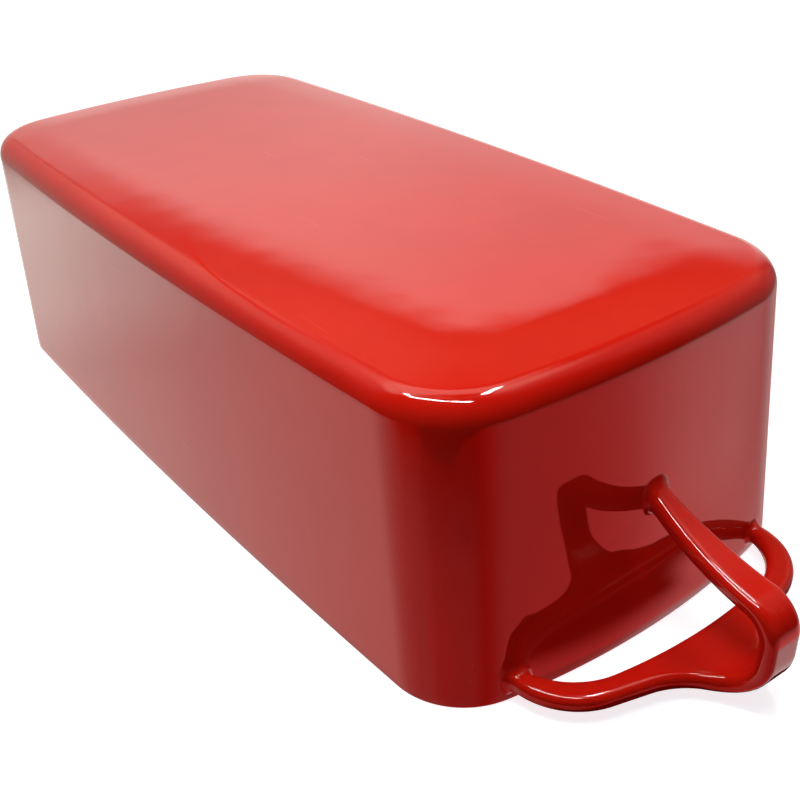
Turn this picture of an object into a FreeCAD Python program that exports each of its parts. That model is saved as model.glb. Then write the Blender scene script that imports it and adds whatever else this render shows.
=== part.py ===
import FreeCAD, Part
import Sketcher
import math
import os

# Enamelled steel loaf pan, standing upturned on its rim, in millimetres.
# Origin: centre of the rim plane (z = 0 is the plane of the rim).
# +X runs along the length towards the front handle, +Z towards the pan's base.
# Pieces: one deep-drawn pan body and two strap handles welded to its end walls.

V = FreeCAD.Vector
doc = FreeCAD.newDocument("loaf_pan")

# ---------------------------------------------------------------- dimensions
sheet = doc.addObject("Spreadsheet::Sheet", "dims")
VALUES = [
    # pan body, outside of the wall at the rim plane
    ("rim_half_length", 135.4), ("rim_half_width", 63.1), ("rim_corner", 21.1),
    ("rim_end_bow", 217.0), ("rim_side_bow", 3009.0),
    # the same outline where the wall would meet the base
    ("base_half_length", 128.2), ("base_half_width", 60.6), ("base_corner", 23.6),
    ("base_end_bow", 380.0), ("base_side_bow", 2140.0),
    # base: the wall stops at base_level, the border rises to the flat middle
    ("base_level", 77.1), ("border_rise", 1.1), ("border_width", 21.0),
    ("base_edge_round", 6.5),
    ("wall_thickness", 1.5), ("rim_round", 0.45),
    # strap handle: section
    ("strap_thickness", 4.6), ("strap_edge_round", 1.35),
    # side profile: flat bow, lower bend, upright, upper bend, curved leg
    ("bow_level", 5.3), ("reach", 169.9), ("lower_bend", 10.7), ("upright", 5.0),
    ("upper_bend", 7.1), ("upper_turn", 82.9), ("leg_curve", 91.4),
    ("strap_start", 122.0),
    # plan of the bow
    ("bow_inner", 147.8), ("bow_inner_radius", 140.4), ("arm_inner_corner", 19.6),
    ("arm_inner_side", 40.3), ("arm_outer_side", 44.2), ("arm_outer_corner", 20.0),
    ("arm_outer_centre", 131.9), ("arm_turn", 75.0), ("flare_radius", 20.1),
    ("flare_end_radius", 8.0), ("flare_end_turn", 30.0), ("stem_half_width", 5.1),
    ("stem_end", 185.0),
    # plan of the leg
    ("leg_taper_start", 166.0), ("leg_taper_radius", 277.0),
    # level at which the plan of the bow hands over to the plan of the leg
    ("split_level", 18.5),
    # the front handle sits very slightly turned on the end wall
    ("handle_turn", -1.7), ("handle_root", 132.0),
]
for i, (alias, value) in enumerate(VALUES):
    row = i + 1
    sheet.set("A%d" % row, alias)
    sheet.set("B%d" % row, "%g" % value)
    sheet.setAlias("B%d" % row, alias)
doc.recompute()
D = {alias: float(sheet.get(alias)) for alias, _ in VALUES}


def plane(body, role):
    for feature in body.Origin.OriginFeatures:
        if feature.Role == role:
            return feature
    raise RuntimeError(role)


def new_sketch(body, name, role, level=None):
    sk = body.newObject("Sketcher::SketchObject", name)
    sk.AttachmentSupport = [(plane(body, role), "")]
    sk.MapMode = "FlatFace"
    if level is not None:
        sk.setExpression("AttachmentOffset.Base.z", level)
    return sk


def arc(cx, cy, r, a0, a1):
    return Part.ArcOfCircle(Part.Circle(V(cx, cy, 0), V(0, 0, 1), r), a0, a1)


def line(x0, y0, x1, y1):
    return Part.LineSegment(V(x0, y0, 0), V(x1, y1, 0))


class Drawing:
    """Collects a sketch's geometry and its constraints, some bound to the sheet."""

    def __init__(self, sketch):
        self.sk = sketch
        self.bound = []

    def add(self, geometry):
        return self.sk.addGeometry(geometry, False)

    def con(self, *args):
        return self.sk.addConstraint(Sketcher.Constraint(*args))

    def dim(self, name, expression, *args):
        index = self.sk.addConstraint(Sketcher.Constraint(*args))
        self.sk.renameConstraint(index, name)
        self.bound.append((name, expression))
        return index

    def finish(self):
        for name, expression in self.bound:
            self.sk.setExpression("Constraints." + name, expression)


def bowed_rectangle(sk, half_length, half_width, corner, end_bow, side_bow, value):
    """Four slightly bowed sides joined by tangent corner arcs.
    Arguments are sheet expressions; value holds their present numbers."""
    A, B, r, Ra, Rb = value
    # corner centre: inside both bowed sides by the corner radius
    cx, cy = A - r, B - r
    for _ in range(60):
        f1 = math.hypot(cx - (A - Ra), cy) - (Ra - r)
        f2 = math.hypot(cx, cy - (B - Rb)) - (Rb - r)
        cx -= f1
        cy -= f2
    ae = math.atan2(cy, cx - (A - Ra))
    an = math.atan2(cy - (B - Rb), cx)
    pi = math.pi
    d = Drawing(sk)
    east = d.add(arc(A - Ra, 0, Ra, -ae, ae))
    ne = d.add(arc(cx, cy, r, ae, an))
    north = d.add(arc(0, B - Rb, Rb, an, pi - an))
    nw = d.add(arc(-cx, cy, r, pi - an, pi - ae))
    west = d.add(arc(Ra - A, 0, Ra, pi - ae, pi + ae))
    sw = d.add(arc(-cx, -cy, r, pi + ae, pi + an))
    south = d.add(arc(0, Rb - B, Rb, pi + an, 2 * pi - an))
    se = d.add(arc(cx, -cy, r, -an, -ae))
    ring = [east, ne, north, nw, west, sw, south, se]
    for i in range(8):
        d.con("Tangent", ring[i], 2, ring[(i + 1) % 8], 1)
    d.con("PointOnObject", west, 3, -1)
    d.con("Symmetric", east, 3, west, 3, -1, 1)
    d.con("PointOnObject", south, 3, -2)
    d.con("Symmetric", north, 3, south, 3, -1, 1)
    d.con("Equal", east, west)
    d.con("Equal", north, south)
    for other in (nw, sw, se):
        d.con("Equal", ne, other)
    d.dim("end_bow", end_bow, "Radius", west, Ra)
    d.dim("side_bow", side_bow, "Radius", south, Rb)
    d.dim("corner", corner, "Radius", ne, r)
    d.dim("end_centre", end_bow + " - (" + half_length + ")", "DistanceX", -1, 1, west, 3, Ra - A)
    d.dim("side_centre", side_bow + " - (" + half_width + ")", "DistanceY", -1, 1, south, 3, Rb - B)
    d.finish()


def outline_at(body, name, level, kind, offset, number):
    """The pan's outline at the rim, at the base, or round the base's flat middle,
    moved inwards by an offset: a sheet expression and its present number."""
    sk = new_sketch(body, name, "XY_Plane", level)
    dims = {"rim": "rim", "base": "base", "middle": "base"}[kind]
    names = [dims + "_half_length", dims + "_half_width", dims + "_corner",
             dims + "_end_bow", dims + "_side_bow"]
    bowed_rectangle(sk, *["dims.%s - (%s)" % (n, offset) for n in names],
                    [D[n] - number for n in names])
    return sk


def loft(body, name, low, high):
    feature = body.newObject("PartDesign::AdditiveLoft", name)
    feature.Profile = (low, [""])
    feature.Sections = [(high, [""])]
    feature.Ruled = True
    doc.recompute()
    return feature


def edges_where(shape, test):
    names = []
    for i, e in enumerate(shape.Edges):
        pts = e.discretize(7)
        if all(test(p) for p in pts):
            names.append("Edge%d" % (i + 1))
    return names


# ------------------------------------------------- envelope of the pan's wall
# Construction only: the solid that the handles' feet are trimmed against.
envelope = doc.addObject("PartDesign::Body", "wall_envelope")
loft(envelope, "envelope_wall",
     outline_at(envelope, "envelope_rim_outline", None, "rim", "0", 0),
     outline_at(envelope, "envelope_base_outline", "dims.base_level", "base", "0", 0))


# ------------------------------------------------------------------- pan body
def drawn_shape(body, tag, offset, number):
    """Tapered wall, gently rising border of the base and rounded edge between them,
    set inwards by an offset."""
    level = "dims.base_level - (%s)" % offset
    z = D["base_level"] - number
    loft(body, tag + "_wall",
         outline_at(body, tag + "_rim_outline", None, "rim", offset, number),
         outline_at(body, tag + "_base_outline", level, "base", offset, number))
    border = loft(body, tag + "_base_border",
                  outline_at(body, tag + "_edge_outline", level, "base", offset, number),
                  outline_at(body, tag + "_middle_outline",
                             "dims.base_level + dims.border_rise - (%s)" % offset, "middle",
                             "dims.border_width", D["border_width"]))
    rounding = body.newObject("PartDesign::Fillet", tag + "_edge_rounding")
    rounding.Base = (border, edges_where(border.Shape, lambda p: abs(p.z - z) < 1e-4))
    rounding.Radius = D["base_edge_round"] - number
    rounding.setExpression("Radius", "dims.base_edge_round - (%s)" % offset)
    doc.recompute()
    return rounding


core = doc.addObject("PartDesign::Body", "inside_of_pan")
drawn_shape(core, "inside", "dims.wall_thickness", D["wall_thickness"])

pan = doc.addObject("PartDesign::Body", "pan_body")
pan.Label = "pan_body"
drawn_shape(pan, "outside", "0", 0)
hollow = pan.newObject("PartDesign::Boolean", "hollow")
hollow.Type = "Cut"
hollow.setObjects([core])
doc.recompute()

# the rim's two edges, softened by the enamel
rim_round = pan.newObject("PartDesign::Fillet", "rim_rounding")
rim_round.Base = (hollow, edges_where(hollow.Shape, lambda p: abs(p.z) < 1e-4))
rim_round.Radius = D["rim_round"]
rim_round.setExpression("Radius", "dims.rim_round")
doc.recompute()


# ------------------------------------------------------------------- handles
def side_profile(sk):
    """The strap seen from the side: a strip of even thickness that runs flat out
    from the wall, bends up, stands upright, bends back and curves up to the wall."""
    t = D["strap_thickness"] / 2
    zc, xv, Rl, up, Ru = D["bow_level"], D["reach"], D["lower_bend"], D["upright"], D["upper_bend"]
    x0, Rg = D["strap_start"], D["leg_curve"]
    turn = math.radians(D["upper_turn"])
    xb, z1 = xv - Rl, zc + Rl
    z2 = z1 + up
    pi = math.pi
    c2 = (xv - Ru, z2)
    # the leg's arc has its centre beyond the upper bend's end, on the other side
    c3 = (c2[0] + (Ru + Rg) * math.cos(turn), c2[1] + (Ru + Rg) * math.sin(turn))
    start3 = turn + pi

    def end_angle(radius):
        return math.acos(max(-1, (x0 - c3[0]) / radius))
    d = Drawing(sk)
    ro, ri = Rg - t, Rg + t
    ao = 2 * pi - end_angle(ro)
    ai = 2 * pi - end_angle(ri)
    L1 = d.add(line(x0, zc - t, xb, zc - t))
    A1 = d.add(arc(xb, z1, Rl + t, -pi / 2, 0))
    L2 = d.add(line(xv + t, z1, xv + t, z2))
    A2 = d.add(arc(c2[0], c2[1], Ru + t, 0, turn))
    A3 = d.add(arc(c3[0], c3[1], ro, ao, start3))
    C2 = d.add(line(x0, c3[1] + ro * math.sin(ao), x0, c3[1] + ri * math.sin(ai)))
    A3i = d.add(arc(c3[0], c3[1], ri, ai, start3))
    A2i = d.add(arc(c2[0], c2[1], Ru - t, 0, turn))
    L2i = d.add(line(xv - t, z2, xv - t, z1))
    A1i = d.add(arc(xb, z1, Rl - t, -pi / 2, 0))
    L1i = d.add(line(xb, zc + t, x0, zc + t))
    C1 = d.add(line(x0, zc + t, x0, zc - t))
    d.con("Tangent", L1, 2, A1, 1)
    d.con("Tangent", A1, 2, L2, 1)
    d.con("Tangent", L2, 2, A2, 1)
    d.con("Tangent", A2, 2, A3, 2)
    d.con("Coincident", A3, 1, C2, 1)
    d.con("Coincident", C2, 2, A3i, 1)
    d.con("Tangent", A3i, 2, A2i, 2)
    d.con("Tangent", A2i, 1, L2i, 1)
    d.con("Tangent", L2i, 2, A1i, 2)
    d.con("Tangent", A1i, 1, L1i, 1)
    d.con("Coincident", L1i, 2, C1, 1)
    d.con("Coincident", C1, 2, L1, 1)
    d.con("Horizontal", L1)
    d.con("Horizontal", L1i)
    d.con("Vertical", L2)
    d.con("Vertical", C1)
    d.con("Vertical", C2)
    d.con("Coincident", A1, 3, A1i, 3)
    d.con("Coincident", A2, 3, A2i, 3)
    d.con("Coincident", A3, 3, A3i, 3)
    half = "dims.strap_thickness / 2"
    d.dim("lower_out", "dims.lower_bend + " + half, "Radius", A1, Rl + t)
    d.dim("lower_in", "dims.lower_bend - " + half, "Radius", A1i, Rl - t)
    d.dim("upper_out", "dims.upper_bend + " + half, "Radius", A2, Ru + t)
    d.dim("upper_in", "dims.upper_bend - " + half, "Radius", A2i, Ru - t)
    d.dim("leg_top", "dims.leg_curve - " + half, "Radius", A3, ro)
    d.dim("turn", "dims.upper_turn * 1 deg", "Angle", A2, turn)
    d.dim("bottom", "dims.bow_level - " + half, "DistanceY", -1, 1, L1, 1, zc - t)
    d.dim("start", "dims.strap_start", "DistanceX", -1, 1, L1, 1, x0)
    d.dim("leg_start", "dims.strap_start", "DistanceX", -1, 1, C2, 1, x0)
    d.dim("face", "dims.reach + " + half, "DistanceX", -1, 1, L2, 1, xv + t)
    d.dim("upright", "dims.upright", "DistanceY", L2, 1, L2, 2, up)
    d.finish()


def frame_lines(d, x0, x1, y):
    """A rectangle round the outline, so that the cut removes all outside it."""
    a = d.add(line(x0, -y, x1, -y))
    b = d.add(line(x1, -y, x1, y))
    c = d.add(line(x1, y, x0, y))
    e = d.add(line(x0, y, x0, -y))
    for p, q in ((a, b), (b, c), (c, e), (e, a)):
        d.con("Coincident", p, 2, q, 1)
    d.con("Horizontal", a)
    d.con("Horizontal", c)
    d.con("Vertical", e)
    d.con("Symmetric", b, 1, b, 2, -1)
    return a, b, c, e


def bow_plan(sk):
    """Outline of the bow and the root of its stem, seen from above."""
    x0 = D["strap_start"] - 1
    xa, Rb, ri, yi = D["bow_inner"], D["bow_inner_radius"], D["arm_inner_corner"], D["arm_inner_side"]
    yo, ro, xo = D["arm_outer_side"], D["arm_outer_corner"], D["arm_outer_centre"]
    th, R2, w, xe = math.radians(D["arm_turn"]), D["flare_radius"], D["stem_half_width"], D["stem_end"]
    pi = math.pi
    cb = xa - Rb
    cyi = yi - ri
    cxi = cb + math.sqrt((Rb - ri) ** 2 - cyi ** 2)
    al = math.atan2(cyi, cxi - cb)
    cyo = yo - ro
    x1, y1 = xo + ro * math.sin(th), cyo + ro * math.cos(th)
    R3, t3 = D["flare_end_radius"], math.radians(D["flare_end_turn"])
    y3 = w + R3 * (1 - math.cos(t3))
    y2 = y3 + R2 * (math.cos(t3) - math.cos(th))
    x2 = x1 + (y1 - y2) / math.tan(th)
    x3 = x2 + R2 * (math.sin(th) - math.sin(t3))
    xc = x3 + R3 * math.sin(t3)
    cxa, cya = x3 + R2 * math.sin(t3), y3 + R2 * math.cos(t3)
    d = Drawing(sk)
    big = d.add(arc(cb, 0, Rb, -al, al))
    end = d.add(line(xe, w, xe, -w))
    rows = []
    for s in (1, -1):
        cap = d.add(line(x0, s * yi, x0, s * yo))
        li = d.add(line(x0, s * yi, cxi, s * yi))
        lo = d.add(line(x0, s * yo, xo, s * yo))
        if s > 0:
            ai = d.add(arc(cxi, cyi, ri, al, pi / 2))
            ao = d.add(arc(xo, cyo, ro, pi / 2 - th, pi / 2))
            ac = d.add(arc(cxa, cya, R2, 3 * pi / 2 - th, 3 * pi / 2 - t3))
            ab = d.add(arc(xc, w + R3, R3, 3 * pi / 2 - t3, 3 * pi / 2))
            first, last = 1, 2      # towards the stem, towards the foot
            cst, cen = 1, 2         # flare: arm side, stem side
        else:
            ai = d.add(arc(cxi, -cyi, ri, -pi / 2, -al))
            ao = d.add(arc(xo, -cyo, ro, -pi / 2, -pi / 2 + th))
            ac = d.add(arc(cxa, -cya, R2, pi / 2 + t3, pi / 2 + th))
            ab = d.add(arc(xc, -w - R3, R3, pi / 2, pi / 2 + t3))
            first, last = 2, 1
            cst, cen = 2, 1
        ld = d.add(line(x1, s * y1, x2, s * y2))
        ls = d.add(line(xc, s * w, xe, s * w))
        d.con("Coincident", cap, 1, li, 1)
        d.con("Coincident", cap, 2, lo, 1)
        d.con("Tangent", li, 2, ai, last)
        d.con("Tangent", ai, first, big, 2 if s > 0 else 1)
        d.con("Tangent", lo, 2, ao, last)
        d.con("Tangent", ao, first, ld, 1)
        d.con("Tangent", ld, 2, ac, cst)
        d.con("Tangent", ac, cen, ab, cst)
        d.con("Tangent", ab, cen, ls, 1)
        d.con("Coincident", ls, 2, end, 1 if s > 0 else 2)
        d.con("Horizontal", li)
        d.con("Horizontal", lo)
        d.con("Horizontal", ls)
        d.con("Vertical", cap)
        rows.append((cap, li, lo, ai, ao, ac, ab))
    up, dn = rows
    d.con("PointOnObject", big, 3, -1)
    d.con("Symmetric", end, 1, end, 2, -1)
    d.con("Symmetric", up[0], 1, dn[0], 1, -1)
    d.con("Equal", up[0], dn[0])
    d.con("Equal", up[3], dn[3])
    d.con("Equal", up[4], dn[4])
    d.con("Equal", up[5], dn[5])
    d.con("Equal", up[6], dn[6])
    d.con("Vertical", up[4], 3, dn[4], 3)
    d.dim("inner_radius", "dims.bow_inner_radius", "Radius", big, Rb)
    d.dim("inner_centre", "dims.bow_inner - dims.bow_inner_radius", "DistanceX", -1, 1, big, 3, cb)
    d.dim("inner_corner", "dims.arm_inner_corner", "Radius", up[3], ri)
    d.dim("outer_corner", "dims.arm_outer_corner", "Radius", up[4], ro)
    d.dim("flare", "dims.flare_radius", "Radius", up[5], R2)
    d.dim("inner_side", "dims.arm_inner_side", "DistanceY", -1, 1, up[0], 1, yi)
    d.dim("outer_side", "dims.arm_outer_side", "DistanceY", -1, 1, up[0], 2, yo)
    d.dim("cap_x", "dims.strap_start - 1", "DistanceX", -1, 1, up[0], 1, x0)
    d.dim("outer_centre", "dims.arm_outer_centre", "DistanceX", -1, 1, up[4], 3, xo)
    d.dim("turn_a", "dims.arm_turn * 1 deg", "Angle", up[4], th)
    d.dim("turn_b", "dims.arm_turn * 1 deg", "Angle", dn[4], th)
    d.dim("flare_end", "dims.flare_end_radius", "Radius", up[6], R3)
    d.dim("end_turn_a", "dims.flare_end_turn * 1 deg", "Angle", up[6], t3)
    d.dim("end_turn_b", "dims.flare_end_turn * 1 deg", "Angle", dn[6], t3)
    d.dim("stem_width", "dims.stem_half_width", "DistanceY", -1, 1, end, 1, w)
    d.dim("stem_end", "dims.stem_end", "DistanceX", -1, 1, end, 1, xe)
    a, b, c, e = frame_lines(d, x0 - 20, xe + 20, 70)
    d.dim("frame_left", "dims.strap_start - 21", "DistanceX", -1, 1, a, 1, x0 - 20)
    d.dim("frame_right", "dims.stem_end + 20", "DistanceX", -1, 1, a, 2, xe + 20)
    d.dim("frame_side", "dims.arm_outer_side + 25.8", "DistanceY", -1, 1, c, 1, 70)
    d.finish()


def leg_plan(sk):
    """Outline of the upright and the leg, which narrows towards its foot."""
    x0, xe = D["strap_start"] - 1, D["stem_end"]
    w, xt, Rt = D["stem_half_width"], D["leg_taper_start"], D["leg_taper_radius"]
    pi = math.pi
    a = math.asin((xt - x0) / Rt)
    ye = w - Rt + Rt * math.cos(a)
    d = Drawing(sk)
    end = d.add(line(xe, w, xe, -w))
    foot = d.add(line(x0, ye, x0, -ye))
    l1 = d.add(line(xe, w, xt, w))
    l2 = d.add(line(xe, -w, xt, -w))
    a1 = d.add(arc(xt, w - Rt, Rt, pi / 2, pi / 2 + a))
    a2 = d.add(arc(xt, Rt - w, Rt, -pi / 2 - a, -pi / 2))
    d.con("Coincident", end, 1, l1, 1)
    d.con("Coincident", end, 2, l2, 1)
    d.con("Tangent", l1, 2, a1, 1)
    d.con("Tangent", l2, 2, a2, 2)
    d.con("Coincident", a1, 2, foot, 1)
    d.con("Coincident", a2, 1, foot, 2)
    d.con("Horizontal", l1)
    d.con("Horizontal", l2)
    d.con("Symmetric", end, 1, end, 2, -1)
    d.con("Symmetric", foot, 1, foot, 2, -1)
    d.con("Equal", a1, a2)
    d.dim("width", "dims.stem_half_width", "DistanceY", -1, 1, end, 1, w)
    d.dim("stem_end", "dims.stem_end", "DistanceX", -1, 1, end, 1, xe)
    d.dim("foot_x", "dims.strap_start - 1", "DistanceX", -1, 1, foot, 1, x0)
    d.dim("taper", "dims.leg_taper_radius", "Radius", a1, Rt)
    d.dim("taper_start", "dims.leg_taper_start", "DistanceX", -1, 1, l1, 2, xt)
    p, q, r, s = frame_lines(d, x0 - 20, xe + 20, 70)
    d.dim("frame_left", "dims.strap_start - 21", "DistanceX", -1, 1, p, 1, x0 - 20)
    d.dim("frame_right", "dims.stem_end + 20", "DistanceX", -1, 1, p, 2, xe + 20)
    d.dim("frame_side", "dims.arm_outer_side + 25.8", "DistanceY", -1, 1, r, 1, 70)
    d.finish()


def strap(name):
    """One bent strap with three feet, in the front handle's place."""
    body = doc.addObject("PartDesign::Body", name)
    profile = new_sketch(body, name + "_side_profile", "XZ_Plane")
    side_profile(profile)
    strip = body.newObject("PartDesign::Pad", name + "_strip")
    strip.Profile = profile
    strip.Midplane = True
    strip.Length = 100
    strip.setExpression("Length", "2 * dims.arm_outer_side + 12")
    doc.recompute()
    bow = new_sketch(body, name + "_bow_plan", "XY_Plane", "dims.split_level")
    bow_plan(bow)
    cut_bow = body.newObject("PartDesign::Pocket", name + "_bow_outline")
    cut_bow.Profile = bow
    cut_bow.Type = 1            # through all, downwards
    cut_bow.Reversed = False
    doc.recompute()
    leg = new_sketch(body, name + "_leg_plan", "XY_Plane", "dims.split_level")
    leg_plan(leg)
    cut_leg = body.newObject("PartDesign::Pocket", name + "_leg_outline")
    cut_leg.Profile = leg
    cut_leg.Type = 1
    cut_leg.Reversed = True     # through all, upwards
    cut_leg.Refine = True
    doc.recompute()
    return body, strip, cut_bow, cut_leg


def long_edges(shape, x_min):
    """Edges between the strap's broad faces and its side walls."""
    names = []
    for i, e in enumerate(shape.Edges):
        mid = e.valueAt((e.FirstParameter + e.LastParameter) / 2)
        if all(p.x < x_min for p in e.discretize(5)):
            continue
        normals = []
        for f in shape.ancestorsOfType(e, Part.Face):
            u, v = f.Surface.parameter(mid)
            normals.append(f.normalAt(u, v))
        if len(normals) != 2:
            continue
        broad = [abs(n.y) < 0.02 for n in normals]
        if abs(normals[0].dot(normals[1])) < 0.3 and (broad[0] != broad[1] or
                (broad[0] and broad[1] and abs(e.tangentAt((e.FirstParameter + e.LastParameter) / 2).y) > 0.95
                 and mid.x > x_min)):
            names.append("Edge%d" % (i + 1))
    return names


def handle(name, label, turn, shift):
    body, strip, cut_bow, cut_leg = strap(name)
    names = long_edges(cut_leg.Shape, D["strap_start"] + 0.5)
    rounding = body.newObject("PartDesign::Fillet", name + "_edge_rounding")
    rounding.Base = (cut_leg, names)
    rounding.Radius = D["strap_edge_round"]
    rounding.setExpression("Radius", "dims.strap_edge_round")
    doc.recompute()
    body.Placement = FreeCAD.Placement(V(0, 0, 0), FreeCAD.Rotation(V(0, 0, 1), 0))
    # turned about a vertical line at the middle foot
    body.setExpression("Placement.Rotation.Axis.x", "0")
    body.setExpression("Placement.Rotation.Axis.y", "0")
    body.setExpression("Placement.Rotation.Axis.z", "1")
    body.setExpression("Placement.Rotation.Angle", turn)
    body.setExpression("Placement.Base.x", shift[0])
    body.setExpression("Placement.Base.y", shift[1])
    doc.recompute()
    # the feet end on the face of the wall
    trimmed = doc.addObject("Part::Cut", label)
    trimmed.Label = label
    trimmed.Base = body
    trimmed.Tool = envelope
    trimmed.Refine = False
    doc.recompute()
    return trimmed


front = handle("front_strap", "front_handle", "dims.handle_turn * 1 deg",
               ("dims.handle_root * (1 - cos(dims.handle_turn * 1 deg))",
                "-dims.handle_root * sin(dims.handle_turn * 1 deg)"))
rear = handle("rear_strap", "rear_handle", "180 deg", ("0", "0"))

doc.recompute()

# --------------------------------------------------------------------- checks
for obj in doc.Objects:
    if "Invalid" in obj.State or "Error" in obj.State:
        raise RuntimeError("failed object: %s %s" % (obj.Name, obj.State))
for obj in (pan, front, rear):
    if obj.Shape.isNull() or not obj.Shape.isValid():
        raise RuntimeError("bad shape: " + obj.Label)
    if len(obj.Shape.Solids) != 1:
        raise RuntimeError("expected one solid: %s has %d" % (obj.Label, len(obj.Shape.Solids)))

os.makedirs("parts", exist_ok=True)
for obj in (pan, front, rear):
    obj.Shape.exportStep("parts/%s.step" % obj.Label)
    box = obj.Shape.BoundBox
    print("%s volume %.1f mm3, box x %.2f..%.2f y %.2f..%.2f z %.2f..%.2f"
          % (obj.Label, obj.Shape.Volume, box.XMin, box.XMax, box.YMin, box.YMax, box.ZMin, box.ZMax))
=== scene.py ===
import math

import bpy
import numpy as np
from mathutils import Matrix, Vector


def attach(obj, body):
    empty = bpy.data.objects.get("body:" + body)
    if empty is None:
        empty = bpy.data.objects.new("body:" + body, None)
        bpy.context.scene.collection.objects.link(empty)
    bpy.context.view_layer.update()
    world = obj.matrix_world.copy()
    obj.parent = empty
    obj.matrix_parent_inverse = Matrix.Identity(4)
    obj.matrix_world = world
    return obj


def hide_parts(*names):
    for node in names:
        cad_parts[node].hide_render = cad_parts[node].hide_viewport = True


# An upturned enamelled loaf pan with a bent strap handle on each end.
# Shapes are worked out in millimetres and put into the meshes in metres.

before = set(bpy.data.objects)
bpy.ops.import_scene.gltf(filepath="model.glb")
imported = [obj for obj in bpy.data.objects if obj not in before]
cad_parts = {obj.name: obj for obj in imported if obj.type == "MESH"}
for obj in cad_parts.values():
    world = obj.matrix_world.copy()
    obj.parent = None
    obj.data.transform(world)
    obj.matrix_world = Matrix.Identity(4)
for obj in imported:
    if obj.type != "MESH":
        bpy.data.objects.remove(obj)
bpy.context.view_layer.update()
MM = 0.001
rng = np.random.default_rng(7)

# ------------------------------------------------------------------ dimensions
RIM = dict(A=135.4, B=63.1, r=21.1, Re=217.0, Rs=3009.0)       # outline at z = 0
TOP = dict(A=128.2, B=60.6, r=23.6, Re=380.0, Rs=2140.0)       # outline at z = EDGE_Z
EDGE_Z, RISE, BORDER = 77.1, 1.1, 21.0
EDGE_R, SHEET = 6.5, 1.5

STRAP_T, STRAP_R = 4.65, 1.95
ZC, XV, RL, UP, RU, TURN, RG = 5.27, 169.87, 10.7, 5.0, 7.1, 82.9, 91.4
BOW_RB, BOW_X, IN_R, IN_Y = 140.4, 147.76, 19.6, 40.3
OUT_Y, OUT_R, OUT_X, OUT_T = 44.15, 20.0, 131.9, 75.0
FLARE_R, STEM_W, FOOT_W, TAPER = 20.1, 5.1, 2.95, 1.6
YAW, ROOT = -1.73, 132.0


# ------------------------------------------------------------------ pan outline
def ring_data(p, inset=0.0):
    """Corner centre and turn-over angles of a bowed rectangle moved inwards."""
    A, B, r = p["A"] - inset, p["B"] - inset, p["r"] - inset
    Re, Rs = p["Re"] - inset, p["Rs"] - inset
    cx, cy = A - r, B - r
    for _ in range(80):
        cx -= math.hypot(cx - (A - Re), cy) - (Re - r)
        cy -= math.hypot(cx, cy - (B - Rs)) - (Rs - r)
    ae = math.atan2(cy, cx - (A - Re))
    an = math.atan2(cy - (B - Rs), cx)
    return A, B, r, Re, Rs, cx, cy, ae, an


N_END, N_COR, N_SIDE = 48, 56, 96


def ring(p, inset=0.0):
    """Closed ring of points and outward normals, always with the same count."""
    A, B, r, Re, Rs, cx, cy, ae, an = ring_data(p, inset)
    P, N = [], []

    def add(cxx, cyy, rad, a0, a1, n):
        a = np.linspace(a0, a1, n, endpoint=False)
        nn = np.stack([np.cos(a), np.sin(a)], 1)
        P.append(np.array([cxx, cyy]) + rad * nn)
        N.append(nn)

    pi = math.pi
    add(A - Re, 0, Re, -ae, ae, N_END)
    add(cx, cy, r, ae, an, N_COR)
    add(0, B - Rs, Rs, an, pi - an, N_SIDE)
    add(-cx, cy, r, pi - an, pi - ae, N_COR)
    add(Re - A, 0, Re, pi - ae, pi + ae, N_END)
    add(-cx, -cy, r, pi + ae, pi + an, N_COR)
    add(0, Rs - B, Rs, pi + an, 2 * pi - an, N_SIDE)
    add(cx, -cy, r, 2 * pi - an, 2 * pi - ae, N_COR)
    return np.concatenate(P), np.concatenate(N)


def edge_distance(xy, outline):
    """Distance of points to a closed outline."""
    a = outline
    b = np.roll(outline, -1, 0)
    e = b - a
    l2 = (e ** 2).sum(1)
    best = np.full(len(xy), 1e9)
    for s in range(0, len(xy), 4000):
        q = xy[s:s + 4000, None] - a[None]
        t = np.clip((q * e[None]).sum(2) / l2[None], 0, 1)
        d = q - e[None] * t[..., None]
        best[s:s + 4000] = np.sqrt((d ** 2).sum(2).min(1))
    return best


def smooth(t):
    t = np.clip(t, 0, 1)
    return t * t * (3 - 2 * t)


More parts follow.
